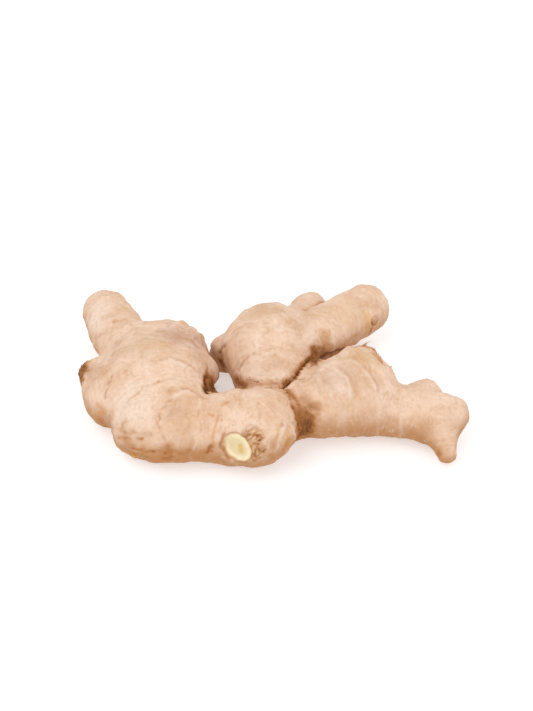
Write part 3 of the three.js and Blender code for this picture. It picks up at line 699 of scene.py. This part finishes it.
def shape_skin(skin):
    """Gives the smooth form its relief, cut stem, dry bud and eye, and stores where each of them shows."""
    skin.smooth(SMOOTH_PASSES)
    for path, radius, rise in SWELLINGS:
        skin.raise_by(rise * bell(to_path(skin.points, path), radius))
    points = skin.points
    hollow = skin.hollow(WIDE_HOLLOW_PASSES)
    lobe, run, arc, other, clear = growth(points)
    ring_height, pale_crest_and_highlight, ring_line_and_shade = ring_relief(points, lobe, run, clear)
    ragged = 0.7 * waves(points, 5, 31) + 0.5 * waves(points, 2.2, 32)

    crease, seam_stain, brown_and_shade = junctions(lobe, other, clear, hollow, ragged)
    crease = skin.blurred(crease, 2)
    stain = np.maximum(blotch(points, STAINS, ragged), seam_stain)

    # The cut face is flat with faint rings, and a groove and a rim of skin run round it
    above, out, angle = cut_places(points, ragged)
    edge = out - CUT_RADIUS
    on_cut = ease(-edge, -0.25, 0.25) * ease(above, -3, -2)
    skin.points = points - on_cut[:, None] * above[:, None] * CUT_FACING
    skin.write()
    near_cut = ease(-np.abs(above + 1.6), -4, -2)
    groove = bell(edge - 0.6, 0.5) * near_cut
    rim = bell(edge - 1.9, 0.8) * near_cut

    # Coarse and fine lumps, and wrinkles that follow the rings
    bare = 1 - on_cut
    grained = ease(clear, 0.2, 3) * (0.35 + 0.65 * ease(waves(points, 12, 40), -1, 1.2))
    grain = np.stack([run + 0.5 * waves(points, 7, 46), arc, 37.0 * lobe], 1)
    wrinkle = grained * waves(grain * (1, 1 / WRINKLE_STRETCH, 1), 2.6, 41, 60)
    height = ring_height + LUMP_HEIGHT * waves(points, 8, 42) + FINE_LUMP_HEIGHT * waves(points, 3, 43)
    height += WRINKLE_HEIGHT * wrinkle - crease
    height += stain * (0.12 * waves(points, 1.7, 44) + 0.1 * waves(points, 2.6, 45))

    # Creases, painted brown with painted shade in the deeper ones, and the raised edges of old scales with a
    # painted highlight
    wander = np.stack([waves(points, 4, 50 + k) for k in range(3)], 1)
    for path, width, depth, brown in CREASES:
        valley = bell(to_path(points + 0.3 * wander, path), width)
        height -= depth * valley
        brown_and_shade = np.maximum(brown_and_shade, brown * valley)
    for path, width, rise, light in RIDGES:
        ridge = bell(to_path(points + 0.12 * wander, path), width)
        height += rise * ridge
        pale_crest_and_highlight = np.maximum(pale_crest_and_highlight, light * ridge)

    # The dry bud beside the cut
    from_dry = np.min([to_path(points, path) for path in DRY_FOLDS], axis=0)
    dry = bare * ease(-from_dry * (1 + 0.12 * ragged), -DRY_RADIUS, -0.3 * DRY_RADIUS)
    # The folds get a painted highlight and the furrows painted shade, over the husk's own browns
    for path in DRY_FOLDS:
        fold = bell(to_path(points + 0.2 * wander, path), FOLD_WIDTH)
        height += FOLD_HEIGHT * fold
        pale_crest_and_highlight = np.maximum(pale_crest_and_highlight, 0.9 * fold)
    for path in DRY_FURROWS:
        furrow = bell(to_path(points + 0.2 * wander, path), FOLD_WIDTH)
        height -= FURROW_DEPTH * furrow
        brown_and_shade = np.maximum(brown_and_shade, 0.6 * furrow)

    # The eye is a small button in a ring-shaped dip, painted brown round it with painted shade below it, and
    # a painted highlight on its lit side
    from_eye = to_path(points, [EYE])
    from_highlight_side = to_path(points, [EYE + EYE_HIGHLIGHT_SIDE])
    height += EYE_HEIGHT * bell(from_eye, 1.3) - EYE_DIP * bell(from_eye - EYE_RADIUS - 0.4, 0.5)
    height += EYE_RIM * bell(from_eye - EYE_RADIUS - 1.4, 0.7)
    shade_below_eye = ease(EYE[2] + 0.6 - points[:, 2] - 0.5 * (points[:, 0] - EYE[0]), 0, 1.5)
    brown_and_shade = np.maximum(brown_and_shade, (0.1 + 0.65 * shade_below_eye) * bell(from_eye - EYE_RADIUS - 0.3, 0.45))
    stain = np.maximum(stain, 0.55 * bell(from_eye, 1.7))
    pale_crest_and_highlight = np.maximum(pale_crest_and_highlight, 0.9 * bell(from_highlight_side, 0.8))

    height += RIM_HEIGHT * rim - GROOVE_DEPTH * groove
    dish = -DISH_DEPTH * (1 - np.clip(out / CUT_RADIUS, 0, 1) ** 2) + 0.07 * np.cos(out * 3.6)
    skin.raise_by(bare * height + on_cut * dish)

    # Where each colour shows, with painted shade on undersides and in narrow hollows
    pit = skin.hollow(NARROW_HOLLOW_PASSES)
    # Painted shade: steep and downward-facing skin near the floor is tinted darker and warmer, less on the
    # pale patches
    steep = ease(-skin.normals[:, 2], -0.85, 0.1)
    low = skin.blurred(steep * (0.3 + 0.7 * ease(-skin.points[:, 2], -24, -9)), 8)
    pale = blotch(points, PALE_AND_PAINTED_LIGHT, ragged)
    marks = {
        "stain": np.clip(stain, 0, 1) * bare,
        # Painted shade: the narrow hollows are darkened on top of the brown lines and crease shade
        "brown_and_shade": np.clip(brown_and_shade + 0.35 * ease(pit, 0.2, 0.6), 0, 1) * bare,
        "fleck": blotch(points, FLECKS, ragged) * bare,
        "bruise": blotch(points, BRUISES, ragged),
        "yellowed": blotch(points, YELLOWED, ragged),
        "tanned_and_shade": blotch(points, TANNED_AND_PAINTED_SHADE, ragged),
        "pale": pale,
        "ring": ring_line_and_shade * bare,
        "pale_crest_and_highlight": pale_crest_and_highlight * bare,
        "low": low * (1 - 0.6 * pale),
        "edge": edge + 20 * ease(-above, 2, 3),
        "heart": blotch(points, [(HEART, HEART_RADIUS, 1)], ragged),
        "dry": dry,
        "grained": grained,
        "grain": grain,
        "fan": np.stack([1.3 * CUT_RADIUS * angle, out, 0 * out], 1) + 0.25 * wander,
    }
    for name, values in marks.items():
        store(skin.mesh, name, values)
    skin.finish()


class Paint:
    """A material and short ways to join its nodes."""

    def __init__(self, name):
        self.material = bpy.data.materials.new(name)
        self.material.use_nodes = True
        self.nodes = self.material.node_tree.nodes
        self.links = self.material.node_tree.links
        self.shader = self.nodes["Principled BSDF"]

    def feed(self, socket, value):
        if isinstance(value, bpy.types.NodeSocket):
            self.links.new(value, socket)
        else:
            socket.default_value = value

    def give(self, name, value):
        """Sets or links an input of the shader."""
        self.feed(self.shader.inputs[name], value)

    def node(self, kind, inputs, **settings):
        """A new node with these inputs and settings."""
        node = self.nodes.new("ShaderNode" + kind)
        for name, value in settings.items():
            setattr(node, name, value)
        for name, value in inputs.items():
            self.feed(node.inputs[name], value)
        return node

    def mask(self, name):
        return self.node("Attribute", {}, attribute_name=name).outputs["Fac"]

    def noise(self, size, detail=3, roughness=0.55, twist=0.0):
        """Random values with features of about this size in millimetres."""
        place = self.node("TexCoord", {}).outputs["Object"]
        return self.cloud(place, 1 / (size * MM), detail, roughness, twist)

    def grain(self, size, stretch, detail=3, roughness=0.6, along="grain"):
        """Random streaks of this width, stretched this many times round the lobes or out in a fan."""
        place = self.node("Attribute", {}, attribute_name=along).outputs["Vector"]
        mapping = self.node("Mapping", {"Vector": place, "Scale": (1, 1 / stretch, 1)})
        return self.cloud(mapping.outputs["Vector"], 1 / size, detail, roughness, 0.4)

    def cloud(self, place, scale, detail, roughness, twist):
        inputs = {"Vector": place, "Scale": scale, "Detail": detail}
        node = self.node("TexNoise", inputs | {"Roughness": roughness, "Distortion": twist})
        return node.outputs["Fac"]

    def span(self, value, low, high, start=0.0, end=1.0):
        """Maps low to start and high to end, and holds beyond them."""
        inputs = {"Value": value, "From Min": low, "From Max": high, "To Min": start, "To Max": end}
        return self.node("MapRange", inputs).outputs["Result"]

    def join(self, operation, a, b):
        return self.node("Math", {0: a, 1: b}, operation=operation).outputs["Value"]

    def times(self, a, b):
        return self.join("MULTIPLY", a, b)

    def mix(self, share, under, over):
        inputs = {"Factor": share, 6: under, 7: over}
        return self.node("Mix", inputs, data_type="RGBA").outputs[2]

    def coat(self, under, coats):
        """Lays coats over a colour, each given as its share and its sRGB colour."""
        for share, over in coats:
            under = self.mix(share, under, tone(*over))
        return under

    def bump(self, height, depth, strength):
        inputs = {"Height": height, "Distance": depth * MM, "Strength": strength}
        self.give("Normal", self.node("Bump", inputs).outputs["Normal"])


def skin_paint():
    """Thin papery skin: peach and tan, with brown fibres in the creases and a cream cut face."""
    p = Paint("ginger_skin")
    cloud = p.noise(6, 5)
    fine = p.noise(1.6, 4, 0.65)
    grit = p.noise(0.55, 3, 0.7)
    fibres = p.span(p.noise(1, 4, 0.65, 1.4), 0.34, 0.64)
    wrinkle = p.grain(1.5, 7)
    thread = p.grain(0.7, 9)
    husk = p.span(p.grain(0.8, 6, 2, 0.5, "fan"), 0.4, 0.6)
    winding = p.join("ABSOLUTE", p.join("SUBTRACT", p.grain(5, 2.5, 2, 0.5), 0.5), 0)
    hairline = p.times(p.span(winding, 0, 0.016, 1, 0), p.span(cloud, 0.42, 0.56))
    grained, stain, dry, brown_and_shade, edge = map(p.mask, ("grained", "stain", "dry", "brown_and_shade", "edge"))

    # Patches, threads along the rings, fine mottling, ring lines, flecks and stains
    colour = p.mix(p.span(p.noise(20, 4), 0.38, 0.62), tone(252, 223, 202), tone(241, 204, 175))
    colour = p.coat(colour, [
        (p.span(cloud, 0.45, 0.7, 0, 0.6), (226, 184, 148)),
        # Tan patches, two of them painted shade beside the arcs
        (p.times(p.mask("tanned_and_shade"), 0.8), (218, 179, 142)),
        # Pale patches, one of them painted light on the shaded nub
        (p.times(p.mask("pale"), 0.8), (255, 233, 215)),
        (p.times(p.mask("bruise"), 0.85), (204, 162, 140)),
        (p.times(p.mask("yellowed"), 0.8), (248, 204, 140)),
        # Painted shade, darker and warmer on the undersides
        (p.mask("low"), (191, 136, 86)),
        # Wrinkle and thread colours follow their bump, lighter where raised and darker in the valleys:
        # painted highlight and shade over the skin's own streaks
        (p.times(grained, p.span(wrinkle, 0.52, 0.72, 0, 0.28)), (255, 238, 222)),
        (p.times(grained, p.span(wrinkle, 0.28, 0.46, 0.2, 0)), (205, 152, 106)),
        (p.span(thread, 0.54, 0.74, 0, 0.2), (255, 238, 222)),
        (p.span(thread, 0.26, 0.44, 0.18, 0), (206, 154, 108)),
        (p.span(fine, 0.5, 0.7, 0, 0.34), (212, 162, 118)),
        (p.span(fine, 0.28, 0.42, 0.35, 0), (255, 240, 226)),
        (p.span(grit, 0.3, 0.42, 0.15, 0), (206, 158, 116)),
        (p.span(p.noise(2.6, 2), 0.72, 0.78, 0, 0.6), (206, 146, 92)),
        (p.times(hairline, 0.32), (204, 146, 94)),
        # Ring lines: partly real, partly painted shade at the foot of each ring's step
        (p.times(p.mask("ring"), 0.4), (200, 144, 96)),
        # Pale crests of rings, scale edges, folds and the eye, with a painted highlight
        (p.times(p.mask("pale_crest_and_highlight"), 0.75), (255, 240, 224)),
        (p.times(p.mask("fleck"), p.span(fibres, 0.1, 0.8, 0.3, 1)), (214, 146, 74)),
        (p.times(p.span(stain, 0, 0.7), p.span(fibres, 0, 1, 0.7, 1)), (196, 130, 68)),
        (p.times(p.span(stain, 0.4, 1), p.span(fibres, 0.1, 0.9, 0.4, 1)), (110, 62, 24)),
    ])

    # The dry bud, the brown creases with their painted shade, and the thin brown line round the cut
    # The husk streaks are lighter where the bump raises them: partly a painted highlight
    dry_tone = p.mix(husk, tone(168, 104, 48), tone(240, 194, 142))
    colour = p.mix(p.times(dry, p.span(fibres, 0, 1, 0.6, 0.85)), colour, dry_tone)
    line_start = p.span(edge, 0, 0.3)
    line_end = p.span(edge, 1, 0.5)
    colour = p.coat(colour, [
        # Brown lines, and painted shade in creases, crevices and hollows
        (p.span(brown_and_shade, 0, 0.5, 0, 0.9), (188, 122, 64)),
        (p.span(brown_and_shade, 0.45, 1), (84, 44, 16)),
        (p.times(p.times(line_start, line_end), 0.5), (186, 122, 64)),
    ])

    # The cut face
    middle = p.span(edge, -2.6, -0.9)
    flesh = p.mix(middle, tone(240, 220, 178), tone(252, 238, 202, 1.06))
    flesh = p.coat(flesh, [
        (p.span(edge, -0.6, -0.1), (238, 206, 156)),
        (p.times(p.mask("heart"), 0.8), (222, 184, 96)),
        (p.span(fine, 0.45, 0.7, 0, 0.4), (236, 208, 154)),
    ])
    colour = p.mix(p.span(edge, 0.1, -0.1), colour, flesh)
    p.give("Base Color", colour)

    p.give("Roughness", p.span(p.join("ADD", cloud, stain), 0.3, 1.2, 0.55, 0.8))
    p.give("Specular IOR Level", 0.18)
    relief = p.times(fine, 0.6)
    for layer, height in (
        (grit, 0.35),
        (p.times(wrinkle, grained), 0.4),
        (thread, 0.2),
        (fibres, p.span(stain, 0, 1, 0.05, 0.6)),
        (hairline, -0.22),
        (p.times(husk, dry), 0.5),
    ):
        relief = p.join("ADD", relief, p.times(layer, height))
    p.bump(relief, 0.3, 0.9)
    return p.material


def fibre_paint(name, root, tip):
    """Dry fibre that changes colour from its root to its tip."""
    p = Paint(name)
    colour = p.mix(p.mask("tip"), root, tip)
    colour = p.mix(p.span(p.noise(0.8, 2), 0.4, 0.7, 0, 0.4), colour, root)
    p.give("Base Color", colour)
    p.give("Roughness", p.span(p.noise(0.5, 2), 0.3, 0.7, 0.6, 0.8))
    p.bump(p.noise(0.25, 2), 0.05, 0.6)
    return p.material


class Fibres:
    """Closed tapering blades and torn strips that grow out of the skin, gathered in one mesh."""

    STEPS = 6
    ROUND_BLADE = ((1, 0), (0, 1), (-1, 0), (0, -1))
    ACROSS_STRIP = ((0, -0.3), (0.5, 0.6), (1, 1))

    def __init__(self, seed):
        self.draw = np.random.default_rng(seed)
        self.points = []
        self.faces = []
        self.tips = []

    def put(self, corner, tip):
        corner[2] = max(corner[2], FLOOR_GAP)
        self.points.append(corner)
        self.tips.append(tip)

    def close(self, start, rings, sides):
        """Faces of a closed tube over rings of points."""
        for k in range(rings - 1):
            for j in range(sides):
                a = start + sides * k + j
                b = start + sides * k + (j + 1) % sides
                self.faces.append((a, b, b + sides, a + sides))
        end = start + sides * (rings - 1)
        self.faces.append(tuple(range(start + sides - 1, start - 1, -1)))
        self.faces.append(tuple(range(end, end + sides)))

    def grow(self, root, normal, heading, length, width, thick, curl):
        """One blade from just under the skin."""
        start = len(self.points)
        direction = heading / np.linalg.norm(heading)
        place = root - ROOT_DEPTH * normal
        bend = self.draw.normal(size=3) * curl
        for k in range(self.STEPS + 1):
            t = k / self.STEPS
            side = np.cross(direction, normal)
            side /= max(np.linalg.norm(side), 1e-6)
            up = np.cross(side, direction)
            taper = max(0.12, (1 - t) ** 0.6)
            for across, rise in self.ROUND_BLADE:
                self.put(place + side * across * width * taper + up * rise * thick * taper, t)
            place = place + direction * length / self.STEPS
            direction = direction + bend / self.STEPS
            direction /= np.linalg.norm(direction)
        self.close(start, self.STEPS + 1, len(self.ROUND_BLADE))

    def along(self, skin, path, count, spread, length, width, thick, lift, curl, lean=(0, 0, 0)):
        """Blades scattered on the skin near a path. Lift is how steeply they stand."""
        path = np.array(path, float)
        for _ in range(count):
            k = self.draw.integers(max(1, len(path) - 1))
            step = self.draw.random()
            middle = path[k] + step * (path[min(k + 1, len(path) - 1)] - path[k])
            root, normal = skin.nearest(middle + self.draw.normal(size=3) * spread)
            flat = self.draw.normal(size=3)
            flat -= normal * (flat @ normal)
            heading = lift * normal + flat / np.linalg.norm(flat) + np.array(lean)
            reach = length * self.draw.uniform(0.5, 1.3)
            self.grow(root, normal, heading, reach, width * self.draw.uniform(0.6, 1.3), thick, curl)

    def drift(self, count, stride):
        """Random values from 0 to 1 that change over about this many steps."""
        anchors = self.draw.random(count // stride + 2)
        return np.interp(np.arange(count) / stride, np.arange(len(anchors)), anchors)

    def strip(self, skin, path, lean, width, lift, tatter):
        """A torn strip of dry skin along a path. It leans one way and lifts towards its ragged edge."""
        line = even_steps(path, STRIP_STEP)
        count = len(line)
        torn = 1 - tatter * (0.75 * self.drift(count, 4) + 0.25 * self.draw.random(count))
        sway = lift * (0.4 + 1.2 * self.drift(count, 6))
        start = len(self.points)
        for k, place in enumerate(line):
            root, normal = skin.nearest(place)
            away = np.array(lean, float) - normal * np.dot(lean, normal)
            away /= np.linalg.norm(away)
            ends = min(1, (k + 0.5) / 2.5, (count - k - 0.5) / 2.5)
            for side in (1, -1):
                for share, rise in self.ACROSS_STRIP[::side]:
                    reach = away * share * width * torn[k] * ends
                    stand = max(rise, 0) * sway[k] * ends + min(rise, 0) + side * STRIP_THICKNESS / 2
                    self.put(root + reach + normal * stand, share)
        self.close(start, count, 2 * len(self.ACROSS_STRIP))

    def piece(self, name, material):
        mesh = bpy.data.meshes.new(name)
        mesh.from_pydata([tuple(point * MM) for point in self.points], [], self.faces)
        mesh.shade_smooth()
        store(mesh, "tip", self.tips)
        add_piece(name, mesh, material)


def add_piece(name, mesh, material):
    """Puts a mesh in the scene as a piece of the root."""
    mesh.materials.append(material)
    piece = add_object(name, mesh)
    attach(piece, "root")
    return piece


def add_fibres(skin):
    """Torn scale edges, frayed ends, root hairs and crease fibres."""
    for name, seed, material, root, tip, strips, tufts in FIBRE_PIECES:
        fibres = Fibres(seed)
        for strip in strips:
            fibres.strip(skin, *strip)
        for tuft in tufts:
            fibres.along(skin, *tuft)
        fibres.piece(name, fibre_paint(material, tone(*root), tone(*tip)))


def add_skin():
    mesh = fine_form()
    mesh.name = "ginger_skin"
    skin = Skin(mesh)
    shape_skin(skin)
    piece = add_piece("ginger_skin", mesh, skin_paint())
    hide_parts("rhizome")
    return skin


def add_floor():
    mesh = bpy.data.meshes.new("floor")
    corners = [(x * FLOOR_HALF, y * FLOOR_HALF, 0) for x, y in ((-1, -1), (1, -1), (1, 1), (-1, 1))]
    mesh.from_pydata(corners, [], [(0, 1, 2, 3)])
    p = Paint("pale_floor")
    p.give("Base Color", FLOOR_COLOUR)
    p.give("Roughness", 0.9)
    p.give("Specular IOR Level", 0.1)
    p.give("Emission Color", (1, 1, 1, 1))
    p.give("Emission Strength", FLOOR_GLOW)
    mesh.materials.append(p.material)
    add_object("floor", mesh)


def add_light():
    """Even light from all round, and soft square lamps that face the root."""
    world = bpy.data.worlds.new("studio")
    world.use_nodes = True
    sky = world.node_tree.nodes["Background"]
    sky.inputs["Color"].default_value = SKY_COLOUR
    sky.inputs["Strength"].default_value = SKY_STRENGTH
    bpy.context.scene.world = world
    for name, place, size, power in LAMPS:
        lamp = bpy.data.lights.new(name, "AREA")
        lamp.size = size
        lamp.energy = power
        holder = add_object(name, lamp)
        holder.location = place
        holder.rotation_euler = (-Vector(place)).to_track_quat("-Z", "Y").to_euler()
    bpy.context.scene.view_settings.view_transform = "Standard"


def add_camera():
    camera = bpy.data.cameras.new("camera")
    camera.lens = LENS
    camera.sensor_fit = "VERTICAL"
    camera.sensor_height = SENSOR
    camera.clip_end = VIEW_DEPTH * MM
    holder = add_object("camera", camera)
    away = Vector((0, -math.cos(CAMERA_PITCH), math.sin(CAMERA_PITCH)))
    holder.location = (Vector(AIM) + CAMERA_DISTANCE * away) * MM
    holder.rotation_euler = (-away).to_track_quat("-Z", "Y").to_euler()
    bpy.context.scene.camera = holder


add_camera()
add_light()
add_floor()
add_fibres(add_skin())
